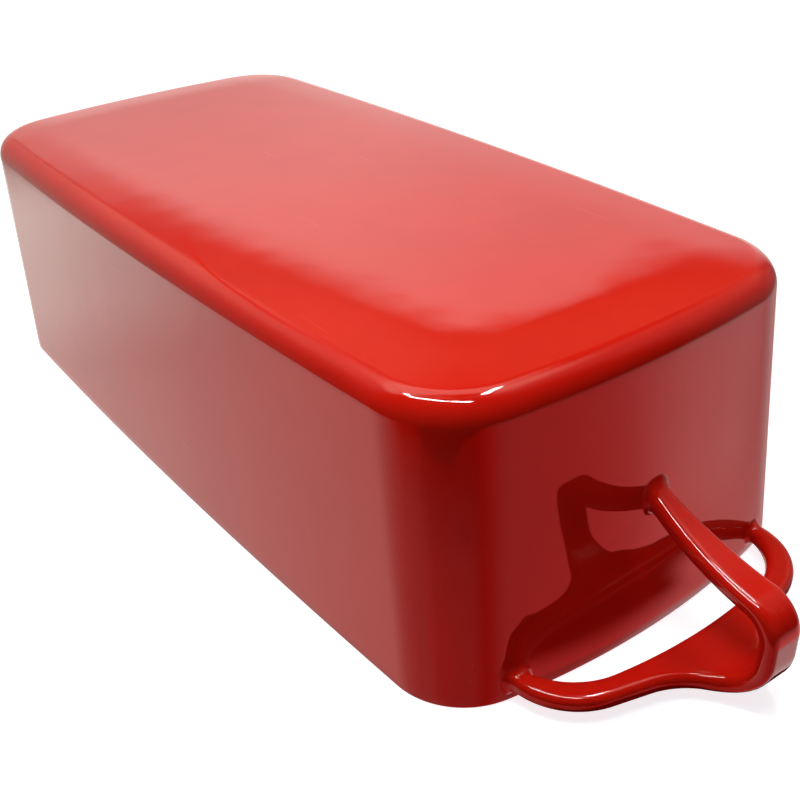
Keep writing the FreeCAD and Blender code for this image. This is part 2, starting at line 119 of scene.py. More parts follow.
def pan_mesh():
    n_wall, n_arc, n_base = 26, 22, 46
    P0, N0 = ring(RIM)
    P1, N1 = ring(TOP)
    count = len(P0)
    low = np.c_[P0, np.zeros(count)]
    top = np.c_[P1, np.full(count, EDGE_Z)]
    beta = SLOPE
    rows = []

    def shell(r, inset, first, n_w):
        """Wall, rounded edge and border for the outside or the inside."""
        Q0, M0 = ring(RIM, inset)
        Q1, M1 = ring(TOP, inset)
        lo3 = np.c_[Q0, np.zeros(count)]
        hi3 = np.c_[Q1, np.full(count, EDGE_Z - inset)]
        a = lo3 - hi3
        a /= np.linalg.norm(a, axis=1)[:, None]
        b = np.c_[-M1 * math.cos(beta), np.full(count, math.sin(beta))]
        cosang = (a * b).sum(1)
        half = np.arccos(cosang) / 2
        d = r / np.tan(half)
        bis = a + b
        bis /= np.linalg.norm(bis, axis=1)[:, None]
        c = hi3 + bis * (r / np.sin(half))[:, None]
        t0 = hi3 + a * d[:, None]
        t1 = hi3 + b * d[:, None]
        out = []
        for i in range(n_w):
            k = i / n_w
            k = first + (1 - first) * k
            out.append(lo3 + (t0 - lo3) * k)
        e0 = (t0 - c) / r
        e1 = (t1 - c) / r
        om = np.arccos(np.clip((e0 * e1).sum(1), -1, 1))
        for i in range(n_arc + 1):
            t = i / n_arc
            w0 = np.sin((1 - t) * om) / np.sin(om)
            w1 = np.sin(t * om) / np.sin(om)
            out.append(c + r * (e0 * w0[:, None] + e1 * w1[:, None]))
        return out, t1, hi3, b, d

    outer, t1, hi3, b, d = shell(EDGE_R, 0.0, 0.006, n_wall)
    # base: rings moving inwards from the edge, then shrinking to the middle
    edge_line = P1
    start_d = float(d.mean())
    base = []
    for i in range(1, 19):
        dd = start_d + (22.0 - start_d) * i / 18
        Q, _ = ring(TOP, dd)
        base.append(Q)
    for i in range(1, n_base - 18):
        t = (i / (n_base - 18)) ** 0.9
        base.append(base[17] * (1 - 0.985 * t))
    xy = np.concatenate(base)
    dist = edge_distance(xy, edge_line)
    z = base_height(xy[:, 0], xy[:, 1], dist)
    base3 = [np.c_[base[i], z[i * count:(i + 1) * count]] for i in range(len(base))]
    # inside of the pan
    inner, *_ = shell(EDGE_R - SHEET, SHEET, 0.006, 12)
    inner_base = []
    for i in range(1, 14):
        dd = SHEET + 4.2 + (21.0 - 5.7) * i / 13
        Q, _ = ring(TOP, dd)
        inner_base.append(Q)
    for i in range(1, 12):
        inner_base.append(inner_base[12] * (1 - 0.97 * i / 12))
    xyi = np.concatenate(inner_base)
    di = edge_distance(xyi, edge_line)
    zi = base_height(xyi[:, 0], xyi[:, 1], di) - SHEET
    inner3 = [np.c_[inner_base[i], zi[i * count:(i + 1) * count]] for i in range(len(inner_base))]
    # rim: half round between the two first rows
    o0, i0 = outer[0], inner[0]
    rim = []
    mid = (o0 + i0) / 2
    half = np.linalg.norm(o0 - i0, axis=1) / 2
    dirn = (i0 - o0) / (2 * half)[:, None]
    zc = o0[:, 2]
    for i in range(1, 10):
        ang = math.pi * i / 10
        off = -math.cos(ang) * half
        drop = math.sin(ang) * np.minimum(half, zc)
        q = mid + dirn * off[:, None]
        q[:, 2] = zc - drop
        rim.append(q)
    order = [r for r in reversed(inner3)] + [r for r in reversed(inner)] + list(reversed(rim)) + outer + base3
    return order, len(inner3), len(inner), len(rim), len(outer), len(base3)


SLOPE = math.radians(3.4)


def base_height(x, y, dist):
    """Level of the base's outer face, from the distance to the sharp edge line."""
    d0, d1 = 9.0, 27.0
    t = np.clip((dist - d0) / (d1 - d0), 0, 1)
    # slope falls smoothly from SLOPE to nothing between d0 and d1
    integral = np.where(dist < d0, dist, d0 + (d1 - d0) * (t - t ** 3 + t ** 4 / 2))
    level = EDGE_Z + math.tan(SLOPE) * integral
    wave = (0.040 * np.sin(x / 31.0 + 0.7) * np.sin(y / 23.0 + 1.1)
            + 0.018 * np.sin(x / 11.0 + y / 19.0) - 0.062)
    wave *= smooth((dist - 6.0) / 20.0)
    return level + wave


def mesh_object(name, verts, faces, smooth_shade=True):
    me = bpy.data.meshes.new(name)
    verts = np.asarray(verts, float) * MM
    me.from_pydata(verts.tolist(), [], faces)
    me.validate()
    me.update()
    if smooth_shade:
        me.polygons.foreach_set("use_smooth", [True] * len(me.polygons))
    ob = bpy.data.objects.new(name, me)
    bpy.context.scene.collection.objects.link(ob)
    return ob


def build_pan():
    order, n_ib, n_in, n_rim, n_out, n_base = pan_mesh()
    count = len(order[0])
    verts = np.concatenate(order)
    faces, mats = [], []
    i = np.arange(count)
    j = (i + 1) % count
    for k in range(len(order) - 1):
        a, b = k * count, (k + 1) * count
        quad = np.stack([a + i, a + j, b + j, b + i], 1)
        faces += quad.tolist()
        mats += [0 if k >= n_ib + n_in - 1 else 1] * count
    # close both middles
    mid_in = len(verts)
    verts = np.r_[verts, [order[0].mean(0)], [order[-1].mean(0)]]
    for q in range(count):
        faces.append([mid_in, int(j[q]), int(i[q])])
        mats.append(1)
        faces.append([mid_in + 1, (len(order) - 1) * count + int(i[q]), (len(order) - 1) * count + int(j[q])])
        mats.append(0)
    ob = mesh_object("enamel_pan", verts, faces)
    ob.data.polygons.foreach_set("material_index", mats)
    return ob


# ------------------------------------------------------------------ end wall as a distance
WALL_Y = np.linspace(-56.0, 56.0, 225)
_lo, _ = ring(RIM)
_hi, _ = ring(TOP)


def end_line(k):
    """x of the end wall over WALL_Y at the share k of the wall's height."""
    p = _lo * (1 - k) + _hi * k
    p = p[p[:, 0] > 80]
    p = p[np.argsort(p[:, 1])]
    return np.interp(WALL_Y, p[:, 1], p[:, 0])


WALL_X = np.stack([end_line(k) for k in (0.0, 0.25, 0.5, 0.75, 1.0)])


def wall_distance(x, y, z):
    """Distance to the end wall, exact on the wall and close to it nearby."""
    k = np.clip(z / EDGE_Z, 0, 1) * 4
    k0 = np.minimum(k.astype(int), 3)
    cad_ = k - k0
    j = np.clip((y - WALL_Y[0]) / (WALL_Y[1] - WALL_Y[0]), 0, len(WALL_Y) - 1.001)
    j0 = j.astype(int)
    fj = j - j0
    a, b = WALL_X[k0, j0], WALL_X[k0, j0 + 1]
    c, d = WALL_X[k0 + 1, j0], WALL_X[k0 + 1, j0 + 1]
    low, high = a + (b - a) * fj, c + (d - c) * fj
    wx = low + (high - low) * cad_
    dy = ((b - a) * (1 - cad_) + (d - c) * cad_) / (WALL_Y[1] - WALL_Y[0])
    dz = (high - low) * 4 / EDGE_Z
    return (x - wx) / np.sqrt(1 + dy * dy + dz * dz)


# ------------------------------------------------------------------ strap as a distance
XB = XV - RL
Z1 = ZC + RL
Z2 = Z1 + UP
S1 = XB + RL * math.pi / 2
S2 = S1 + UP
TURN_A = math.radians(TURN)
S3 = S2 + RU * TURN_A
C2 = (XV - RU, Z2)
C3 = (C2[0] + (RU + RG) * math.cos(TURN_A), C2[1] + (RU + RG) * math.sin(TURN_A))
A_START = TURN_A + math.pi
A_FOOT = 2 * math.pi - math.acos((131.5 - C3[0]) / RG)
S4 = S3 + RG * (A_START - A_FOOT)


def strap_coords(x, z):
    """Length along the bent strip and height above its middle surface."""
    s = np.full(x.shape, 1e6)
    n = np.full(x.shape, 1e6)

    def put(ok, ss, nn):
        better = ok & (np.abs(nn) < np.abs(n))
        s[better] = ss[better]
        n[better] = nn[better]

    put(x <= XB, x, z - ZC)
    phi = np.arctan2(x - XB, Z1 - z)
    put((phi >= 0) & (phi <= math.pi / 2), XB + RL * phi, RL - np.hypot(x - XB, z - Z1))
    put((z >= Z1) & (z <= Z2), S1 + z - Z1, XV - x)
    phi = np.arctan2(z - C2[1], x - C2[0])
    put((phi >= 0) & (phi <= TURN_A), S2 + RU * phi, RU - np.hypot(x - C2[0], z - C2[1]))
    al = np.arctan2(z - C3[1], x - C3[0]) % (2 * math.pi)
    put((al <= A_START) & (al >= A_FOOT - 0.12), S3 + RG * (A_START - al), np.hypot(x - C3[0], z - C3[1]) - RG)
    return s, n


def seg_distance(s, y, x0, y0, x1, y1):
    ex, ey = x1 - x0, y1 - y0
    t = np.clip(((s - x0) * ex + (y - y0) * ey) / (ex * ex + ey * ey), 0, 1)
    return np.hypot(s - x0 - t * ex, y - y0 - t * ey)


def plan_distance(s, y):
    """Signed distance in the flat blank to the strap's outline; y may be negative."""
    a = np.abs(y)
    th = math.radians(OUT_T)
    oy = OUT_Y - OUT_R
    x1, y1 = OUT_X + OUT_R * math.sin(th), oy + OUT_R * math.cos(th)
    y2 = STEM_W + FLARE_R * (1 - math.cos(th))
    x2 = x1 + (y1 - y2) / math.tan(th)
    xc = x2 + FLARE_R * math.sin(th)
    # outer outline, a single-valued curve over s
    t = np.clip((s - S2 - 4.0) / (S4 - S2 - 4.0), 0, 1.2)
    stem = STEM_W + (FOOT_W - STEM_W) * t ** TAPER
    line = y1 + (s - x1) * (y2 - y1) / (x2 - x1)
    conv = oy + np.sqrt(np.maximum(OUT_R ** 2 - (s - OUT_X) ** 2, 0))
    conc = STEM_W + FLARE_R - np.sqrt(np.maximum(FLARE_R ** 2 - (s - xc) ** 2, 0))
    yout = np.where(s < OUT_X, OUT_Y, np.where(s < x1, conv, np.where(s < x2, line, np.where(s < xc, conc, stem))))
    d = np.where(s < OUT_X, np.abs(a - OUT_Y), 1e6)
    ang = np.arctan2(a - oy, s - OUT_X)
    d = np.minimum(d, np.where((ang <= math.pi / 2) & (ang >= math.pi / 2 - th),
                               np.abs(np.hypot(s - OUT_X, a - oy) - OUT_R), 1e6))
    d = np.minimum(d, seg_distance(s, a, x1, y1, x2, y2))
    ang = np.arctan2(STEM_W + FLARE_R - a, xc - s)      # 90 deg at the stem
    d = np.minimum(d, np.where((ang <= math.pi / 2) & (ang >= math.pi / 2 - th),
                               np.abs(np.hypot(s - xc, a - STEM_W - FLARE_R) - FLARE_R), 1e6))
    d = np.minimum(d, np.where(s >= xc, np.abs(a - stem), 1e6))
    outer = np.where(a < yout, -d, d)
    # opening between the arms
    cb = BOW_X - BOW_RB
    cyi = IN_Y - IN_R
    cxi = cb + math.sqrt((BOW_RB - IN_R) ** 2 - cyi ** 2)
    al = math.atan2(cyi, cxi - cb)
    ang = np.arctan2(a - cyi, s - cxi)
    disc = np.hypot(s - cb, a) - BOW_RB
    strip = a - IN_Y
    corner = np.hypot(s - cxi, a - cyi) - IN_R
    opening = np.where((ang >= al) & (ang <= math.pi / 2), corner,
                       np.where(s < cxi, np.maximum(strip, disc), disc))
    return np.maximum(outer, -opening)


def smin(a, b, k):
    h = np.maximum(k - np.abs(a - b), 0) / k
    return np.minimum(a, b) - h * h * k / 4


def handle_distance(x, y, z, yaw):
    ca, sa = math.cos(yaw), math.sin(yaw)
    lx = ROOT + (x - ROOT) * ca + y * sa
    ly = -(x - ROOT) * sa + y * ca
    s, n = strap_coords(lx, z)
    q1 = plan_distance(s, ly) + STRAP_R
    q2 = np.abs(n) - (STRAP_T / 2 - STRAP_R)
    strap = np.minimum(np.maximum(q1, q2), 0) + np.hypot(np.maximum(q1, 0), np.maximum(q2, 0)) - STRAP_R
    wall = wall_distance(x, y, z)
    joined = smin(strap, wall + 0.06, 2.4)
    return np.maximum(np.maximum(joined, -wall - 1.1), strap - 3.2)


def surface_net(fun, lo, hi, step):
    """Quads on the zero level of fun, one vertex in each crossed cell."""
    ax = [np.arange(lo[i], hi[i] + step, step) for i in range(3)]
    X, Y, Z = np.meshgrid(*ax, indexing="ij")
    F = fun(X, Y, Z)
    pinched = True
    while pinched:
        # a cell face with two filled corners across would join four quads on one edge
        pinched = False
        for m in range(3):
            u, v = (m + 1) % 3, (m + 2) % 3
            views = []
            for du, dv in ((0, 0), (1, 0), (1, 1), (0, 1)):
                sl = [slice(None)] * 3
                sl[u] = slice(du, F.shape[u] - 1 + du)
                sl[v] = slice(dv, F.shape[v] - 1 + dv)
                views.append(F[tuple(sl)])
            a, b, c, d = (part < 0 for part in views)
            crossed = (a == c) & (b == d) & (a != b)
            pinched = pinched or bool(crossed.any())
            views[0][crossed & ~a] = -0.01
            views[1][crossed & a] = -0.01
    inside = F < 0
    nx, ny, nz = (len(a) - 1 for a in ax)
    acc = np.zeros((nx, ny, nz, 3))
    num = np.zeros((nx, ny, nz))
    corners = [(a, b, c) for a in (0, 1) for b in (0, 1) for c in (0, 1)]
    for i, p in enumerate(corners):
        for q in corners[i + 1:]:
            if sum(abs(p[m] - q[m]) for m in range(3)) != 1:
                continue
            fp = F[p[0]:p[0] + nx, p[1]:p[1] + ny, p[2]:p[2] + nz]
            fq = F[q[0]:q[0] + nx, q[1]:q[1] + ny, q[2]:q[2] + nz]
            cross = (fp < 0) != (fq < 0)
            t = np.where(cross, fp / np.where(cross, fp - fq, 1), 0)
            for m in range(3):
                acc[..., m] += np.where(cross, p[m] + t * (q[m] - p[m]), 0)
            num += cross
    used = num > 0
    index = np.full(used.shape, -1)
    index[used] = np.arange(used.sum())
    cell = np.stack(np.nonzero(used), 1)
    verts = np.array(lo) + step * (cell + acc[used] / num[used][:, None])
    faces = []
    for m in range(3):
        u, v = (m + 1) % 3, (m + 2) % 3
        sl0 = [slice(None)] * 3
        sl1 = [slice(None)] * 3
        sl0[m], sl1[m] = slice(0, -1), slice(1, None)
        a, b = inside[tuple(sl0)], inside[tuple(sl1)]
        change = a != b
        pos = np.stack(np.nonzero(change), 1)
        ok = (pos[:, u] > 0) & (pos[:, v] > 0) & (pos[:, u] < (nx, ny, nz)[u]) & (pos[:, v] < (nx, ny, nz)[v])
        pos = pos[ok]
        flip = a[tuple(pos.T)]
        quad = []
        for du, dv in ((-1, -1), (0, -1), (0, 0), (-1, 0)):
            c = pos.copy()
            c[:, u] += du
            c[:, v] += dv
            quad.append(index[tuple(c.T)])
        quad = np.stack(quad, 1)
        quad[~flip] = quad[~flip][:, ::-1]
        faces.append(quad)
    return verts, np.concatenate(faces)


def gradient(fun, v, h=0.04):
    g = np.zeros_like(v)
    for m in range(3):
        p, q = v.copy(), v.copy()
        p[:, m] += h
        q[:, m] -= h
        g[:, m] = (fun(*p.T) - fun(*q.T)) / (2 * h)
    return g


def settle(fun, v, faces, rounds=3):
    """Evens out the net and puts its points on the zero level."""
    for k in range(rounds + 1):
        if k:
            total = np.zeros_like(v)
            number = np.zeros(len(v))
            for a, b in ((0, 1), (1, 2), (2, 3), (3, 0)):
                np.add.at(total, faces[:, a], v[faces[:, b]])
                np.add.at(total, faces[:, b], v[faces[:, a]])
                np.add.at(number, faces[:, a], 1)
                np.add.at(number, faces[:, b], 1)
            v = v + 0.6 * (total / number[:, None] - v)
        for _ in range(2):
            g = gradient(fun, v)
            f = fun(*v.T)
            v = v - g * (f / np.maximum((g ** 2).sum(1), 0.25))[:, None]
    return v


def build_handle(name, yaw, back):
    def fun(x, y, z):
        # the skirt of the feet lies inside the wall sheet and ends above the rim
        return np.maximum(handle_distance(x, y, z, yaw), 1.6 - z)

    step = 0.62
    verts, faces = surface_net(fun, (125.5, -50.0, 1.2), (174.0, 50.0, 47.0), step)
    verts = settle(fun, verts, faces)
    if back:
        verts[:, :2] *= -1
    return mesh_object(name, verts, faces.tolist())


pan = build_pan()
front = build_handle("front_strap_handle", math.radians(YAW), False)
rear = build_handle("rear_strap_handle", 0.0, True)
print("triangles", [sum(len(p.vertices) - 2 for p in o.data.polygons) for o in (pan, front, rear)])


# ------------------------------------------------------------------ materials
def enamel(name, colour, speck, seed, crease=False):
    """Fired glaze: slow tone changes, uneven gloss, orange peel, fine scratches and pinholes."""
    mat = bpy.data.materials.new(name)
    mat.use_nodes = True
    nt = mat.node_tree
    bsdf = nt.nodes["Principled BSDF"]
    coord = nt.nodes.new("ShaderNodeTexCoord")

    def link(a, b):
        nt.links.new(a, b)

    def moved(turn, scale):
        node = nt.nodes.new("ShaderNodeMapping")
        node.inputs["Location"].default_value = (seed * 0.37, seed * 0.21, seed * 0.13)
        node.inputs["Rotation"].default_value = turn
        node.inputs["Scale"].default_value = scale
        link(coord.outputs["Object"], node.inputs["Vector"])
        return node.outputs["Vector"]

    def noise(vector, scale, detail, rough=0.5):
        node = nt.nodes.new("ShaderNodeTexNoise")
        node.inputs["Scale"].default_value = scale
        node.inputs["Detail"].default_value = detail
        node.inputs["Roughness"].default_value = rough
        link(vector, node.inputs["Vector"])
        return node.outputs["Fac"]

    def spread(value, lo, hi, out_lo, out_hi, kind="SMOOTHSTEP"):
        node = nt.nodes.new("ShaderNodeMapRange")
        node.interpolation_type = kind
        node.inputs["From Min"].default_value = lo
        node.inputs["From Max"].default_value = hi
        node.inputs["To Min"].default_value = out_lo
        node.inputs["To Max"].default_value = out_hi
        link(value, node.inputs["Value"])
        return node.outputs["Result"]

    def times(a, b):
        node = nt.nodes.new("ShaderNodeMath")
        node.operation = "MULTIPLY"
        link(a, node.inputs[0])
        if hasattr(b, "is_output"):
            link(b, node.inputs[1])
        else:
            node.inputs[1].default_value = b
        return node.outputs[0]

    def plus(a, b):
        node = nt.nodes.new("ShaderNodeMath")
        node.operation = "ADD"
        link(a, node.inputs[0])
        link(b, node.inputs[1])
        return node.outputs[0]

    plain = moved((0, 0, 0), (1, 1, 1))
    # slow tone variation
    ramp = nt.nodes.new("ShaderNodeValToRGB")
    c = colour
    ramp.color_ramp.elements[0].position = 0.3
    ramp.color_ramp.elements[1].position = 0.7
    ramp.color_ramp.elements[0].color = (c[0] * 0.95, c[1] * 0.85, c[2] * 0.85, 1)
    ramp.color_ramp.elements[1].color = (c[0] * 1.03, c[1] * 1.15, c[2] * 1.15, 1)
    link(noise(plain, 26.0, 3.0, 0.62), ramp.inputs["Fac"])
    # short thin scratches, only in a few places
    lines = None
    for k, (angle, stretch) in enumerate(((-0.9, 34.0),)):
        thin = noise(moved((0.2 * k, 0.1, angle), (stretch, 1700.0, 700.0)), 1.0, 0.0)
        where = noise(moved((0, 0, angle), (40.0, 40.0, 40.0)), 1.0, 1.0)
        one = times(spread(thin, 0.77, 0.82, 0.0, 1.0), spread(where, 0.62, 0.74, 0.0, 1.0))
        lines = one if lines is None else plus(lines, one)
    pale = nt.nodes.new("ShaderNodeMix")
    pale.data_type = "RGBA"
    link(times(lines, 0.08), pale.inputs["Factor"])
    link(ramp.outputs["Color"], pale.inputs["A"])
    pale.inputs["B"].default_value = (0.80, 0.34, 0.30, 1)
    # pinholes and grit burnt into the glaze
    cell = nt.nodes.new("ShaderNodeTexVoronoi")
    cell.inputs["Scale"].default_value = 62.0
    link(plain, cell.inputs["Vector"])
    chosen = nt.nodes.new("ShaderNodeSeparateColor")
    link(cell.outputs["Color"], chosen.inputs["Color"])
    dot = times(spread(cell.outputs["Distance"], 0.014, 0.036, 1.0, 0.0),
                spread(chosen.outputs["Red"], 0.62, 0.64, 0.0, 1.0, "LINEAR"))
    dark = nt.nodes.new("ShaderNodeMix")
    dark.data_type = "RGBA"
    link(times(dot, speck), dark.inputs["Factor"])
    link(pale.outputs["Result"], dark.inputs["A"])
    dark.inputs["B"].default_value = (0.13, 0.015, 0.012, 1)
    link(dark.outputs["Result"], bsdf.inputs["Base Color"])
    # gloss: nearly mirror, slightly hazed in patches and on the scratches
    haze = spread(noise(plain, 34.0, 2.0, 0.6), 0.35, 0.75, 0.025, 0.06)
    link(plus(haze, times(lines, 0.06)), bsdf.inputs["Roughness"])
    bsdf.inputs["IOR"].default_value = 1.5
    if crease:
        # a drip line: the glaze is thin and dull along the near long edge of the base
        path = [(8.4, -50.1), (14.6, -51.4), (21.2, -53.0), (29.5, -54.7), (37.1, -55.5), (44.1, -55.75),
                (55.5, -55.85), (63.8, -55.8), (72.0, -55.4), (80.0, -54.95), (88.0, -54.6), (100.7, -54.1)]
        xyz = nt.nodes.new("ShaderNodeSeparateXYZ")
        link(coord.outputs["Object"], xyz.inputs[0])
        along = spread(xyz.outputs["X"], 0.005, 0.105, 0.0, 1.0, "LINEAR")
        line = nt.nodes.new("ShaderNodeFloatCurve")
        places = [((x - 5.0) / 100.0, (y + 58.0) / 10.0) for x, y in path]
        curve = line.mapping.curves[0]
        curve.points[0].location = places[0]
        curve.points[-1].location = places[-1]
        for place in places[1:-1]:
            curve.points.new(*place)
        line.mapping.update()
        link(along, line.inputs["Value"])
        here = spread(xyz.outputs["Y"], -0.058, -0.048, 0.0, 1.0, "LINEAR")
        apart = nt.nodes.new("ShaderNodeMath")
        apart.operation = "SUBTRACT"
        link(here, apart.inputs[0])
        link(line.outputs[0], apart.inputs[1])
        size = nt.nodes.new("ShaderNodeMath")
        size.operation = "ABSOLUTE"
        link(apart.outputs[0], size.inputs[0])
        thin = spread(size.outputs[0], 0.018, 0.060, 1.0, 0.0)
        blot = times(spread(size.outputs[0], 0.06, 0.20, 0.5, 0.0),
                     times(spread(xyz.outputs["X"], 0.005, 0.010, 0.0, 1.0), spread(xyz.outputs["X"], 0.014, 0.021, 1.0, 0.0)))
        thin = times(times(thin, spread(xyz.outputs["X"], 0.010, 0.026, 0.0, 1.0)),
                     spread(xyz.outputs["X"], 0.048, 0.100, 1.0, 0.25))
        mark = times(plus(thin, blot), spread(xyz.outputs["Z"], 0.072, 0.073, 0.0, 1.0))
        link(spread(mark, 0.0, 1.0, 0.5, 0.08, "LINEAR"), bsdf.inputs["Specular IOR Level"])
    # orange peel
    peel = plus(times(noise(plain, 95.0, 0.0), 1.0), times(noise(plain, 310.0, 0.0), 0.12))
    relief = plus(peel, times(dot, -0.5))
    bump = nt.nodes.new("ShaderNodeBump")
    bump.inputs["Strength"].default_value = 0.6
    bump.inputs["Distance"].default_value = 0.00007
    link(relief, bump.inputs["Height"])
    link(bump.outputs["Normal"], bsdf.inputs["Normal"])
    return mat


red = enamel("red_enamel", (0.72, 0.012, 0.005), 0.8, 1, True)
white = enamel("pale_enamel", (0.74, 0.71, 0.66), 0.5, 2)
handle_red = enamel("handle_red_enamel", (0.72, 0.012, 0.005), 0.8, 3)

pan.data.materials.append(red)
pan.data.materials.append(white)
for o in (front, rear):
    o.data.materials.append(handle_red)

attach(pan, "root")
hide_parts("pan_body")
for o, node in ((front, "front_handle"), (rear, "rear_handle")):
    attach(o, "root")
    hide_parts(node)

# ------------------------------------------------------------------ floor
bpy.ops.mesh.primitive_plane_add(size=8.0, location=(0, 0, 0))
floor = bpy.context.object
floor.name = "floor"
fm = bpy.data.materials.new("floor_pale")
fm.use_nodes = True
fb = fm.node_tree.nodes["Principled BSDF"]
fb.inputs["Base Color"].default_value = (0.56, 0.575, 0.59, 1)
fb.inputs["Roughness"].default_value = 0.8
fb.inputs["Emission Color"].default_value = (0.95, 0.97, 1.0, 1)
fb.inputs["Emission Strength"].default_value = 0.82
floor.data.materials.append(fm)
# the glaze mirrors the dim lower half of the studio instead of this floor
floor.visible_diffuse = False
floor.visible_glossy = False
floor.visible_transmission = False
floor.visible_shadow = False

# painted shade: a dark card, seen only in reflections, stands for the table lying in shade under a handle; the end
# wall mirrors that as a dark patch
SHADE = [(137, -48), (144, -43.5), (148.6, -39.3), (154.3, -34), (159.5, -28), (159, -20.5), (161.2, -13.5),
         (166, -7), (171.5, -1), (173, 5), (171.8, 11.5), (169.5, 16.5), (166, 21), (162.6, 27),
         (161.2, 34), (158, 42), (150, 49), (137, 50)]
shade_mesh = bpy.data.meshes.new("handle_shade")
shade_mesh.from_pydata([(x * MM, y * MM, 0.0002) for x, y in SHADE], [], [tuple(range(len(SHADE)))])
shade_mat = bpy.data.materials.new("handle_shade")
shade_mat.use_nodes = True
st = shade_mat.node_tree
st.nodes.clear()
s_out = st.nodes.new("ShaderNodeOutputMaterial")
s_mix = st.nodes.new("ShaderNodeMixShader")
s_dark = st.nodes.new("ShaderNodeEmission")
s_dark.inputs["Color"].default_value = (0.02, 0.002, 0.001, 1)
s_clear = st.nodes.new("ShaderNodeBsdfTransparent")
s_coord = st.nodes.new("ShaderNodeTexCoord")
s_xyz = st.nodes.new("ShaderNodeSeparateXYZ")
st.links.new(s_coord.outputs["Object"], s_xyz.inputs[0])


def shade_step(socket, lo, hi, out_lo=0.0, out_hi=1.0):
    node = st.nodes.new("ShaderNodeMapRange")
    node.interpolation_type = "SMOOTHSTEP"
    node.inputs["From Min"].default_value = lo * MM
    node.inputs["From Max"].default_value = hi * MM
    node.inputs["To Min"].default_value = out_lo
    node.inputs["To Max"].default_value = out_hi
    st.links.new(socket, node.inputs["Value"])
    return node.outputs["Result"]


def shade_times(a, b):
    node = st.nodes.new("ShaderNodeMath")
    node.operation = "MULTIPLY"
    st.links.new(a, node.inputs[0])
    st.links.new(b, node.inputs[1])
    return node.outputs[0]


s_bare = st.nodes.new("ShaderNodeMath")
s_bare.operation = "SUBTRACT"
s_bare.inputs[0].default_value = 1.0
st.links.new(shade_times(shade_step(s_xyz.outputs["Y"], 14, 28), shade_step(s_xyz.outputs["X"], 153, 142)), s_bare.inputs[1])
st.links.new(shade_times(shade_step(s_xyz.outputs["X"], 136.5, 146), s_bare.outputs[0]), s_mix.inputs[0])
st.links.new(s_clear.outputs[0], s_mix.inputs[1])
st.links.new(s_dark.outputs[0], s_mix.inputs[2])
st.links.new(s_mix.outputs[0], s_out.inputs["Surface"])
shade_mesh.materials.append(shade_mat)
for label, around in (("front", 0.0), ("rear", math.pi)):
    card = bpy.data.objects.new("shade_under_" + label + "_handle", shade_mesh)
    bpy.context.scene.collection.objects.link(card)
    card.rotation_euler = (0, 0, around)
    card.visible_camera = False
    card.visible_diffuse = False
    card.visible_transmission = False
    card.visible_shadow = False

# ------------------------------------------------------------------ studio
# The studio is a bright wall behind the pan, a paler one on its left, a dark
# side where the camera stands, and narrow lamps almost overhead.
world = bpy.data.worlds.new("soft_studio")
bpy.context.scene.world = world
world.use_nodes = True
wt = world.node_tree
background = wt.nodes["Background"]
FACING = math.radians(315.0)          # azimuth of the camera's side


def plug(node, socket, value):
    if hasattr(value, "is_output"):
        wt.links.new(value, node.inputs[socket])
    else:
        node.inputs[socket].default_value = value


def calc(kind, a, b=0.0, c=0.0):
    node = wt.nodes.new("ShaderNodeMath")
    node.operation = kind
    for k, v in enumerate((a, b, c)):
        plug(node, k, v)
    return node.outputs[0]


def turned(vec):
    node = wt.nodes.new("ShaderNodeVectorMath")
    node.operation = "DOT_PRODUCT"
    wt.links.new(direction, node.inputs[0])
    node.inputs[1].default_value = vec
    return node.outputs["Value"]


def step(value, lo, hi):
    """0 below lo, 1 above hi, smooth between."""
    node = wt.nodes.new("ShaderNodeMapRange")
    node.interpolation_type = "SMOOTHSTEP"
    plug(node, "Value", value)
    plug(node, "From Min", lo)
    plug(node, "From Max", hi)
    return node.outputs["Result"]


def between(value, a, b, c, d):
    """Rises from a to b and falls from c to d."""
    return calc("MULTIPLY", step(value, a, b), calc("SUBTRACT", 1.0, step(value, c, d)))


direction = wt.nodes.new("ShaderNodeTexCoord").outputs["Generated"]
towards = turned((math.cos(FACING), math.sin(FACING), 0))
sideways = turned((-math.sin(FACING), math.cos(FACING), 0))
height = turned((0, 0, 1))
DEG = 180 / math.pi
el = calc("MULTIPLY", calc("ARCSINE", height), DEG)
turn = calc("MULTIPLY", calc("ARCTAN2", sideways, towards), DEG)      # -180 to 180, 0 = camera side
# the far side measured without the jump at 180 degrees: 0 behind, + left, - right
round_back = calc("MULTIPLY", calc("ARCTAN2", calc("MULTIPLY", sideways, -1.0),
                                   calc("MULTIPLY", towards, -1.0)), DEG)

parts = []


def glow(strength, colour, *factors):
    value = strength
    for f in factors:
        value = calc("MULTIPLY", f, value)
    node = wt.nodes.new("ShaderNodeVectorMath")
    node.operation = "SCALE"
    node.inputs[0].default_value = colour
    plug(node, "Scale", value)
    parts.append(node.outputs["Vector"])


# far wall: its top edge is highest straight behind and falls to both sides
to_left = calc("MAXIMUM", calc("SUBTRACT", round_back, 6.0), 0.0)
wall_top = calc("SUBTRACT", calc("SUBTRACT", 27.2, calc("MULTIPLY", step(round_back, 3.0, -8.0), 4.4)),
                calc("MULTIPLY", to_left, 0.34))
to_right = calc("MAXIMUM", calc("SUBTRACT", -1.0, round_back), 0.0)
soft_edge = calc("ADD", 1.0, calc("ADD", calc("MULTIPLY", to_left, 0.13), calc("MULTIPLY", to_right, 0.4)))
below_top = calc("SUBTRACT", 1.0, step(calc("DIVIDE", calc("SUBTRACT", el, wall_top), soft_edge), -1.0, 1.0))
wall_tone = calc("ADD", 0.84, calc("MULTIPLY", step(round_back, -3.0, 14.0), 0.21))
wall_tone = calc("SUBTRACT", wall_tone, calc("MULTIPLY", between(el, 4.0, 9.0, 13.0, 20.0),
                                             calc("MULTIPLY", step(round_back, 8.0, 20.0), 0.26)))
wall_tone = calc("ADD", wall_tone, calc("MULTIPLY", between(el, -20.0, -2.0, 7.0, 14.0), 0.22))
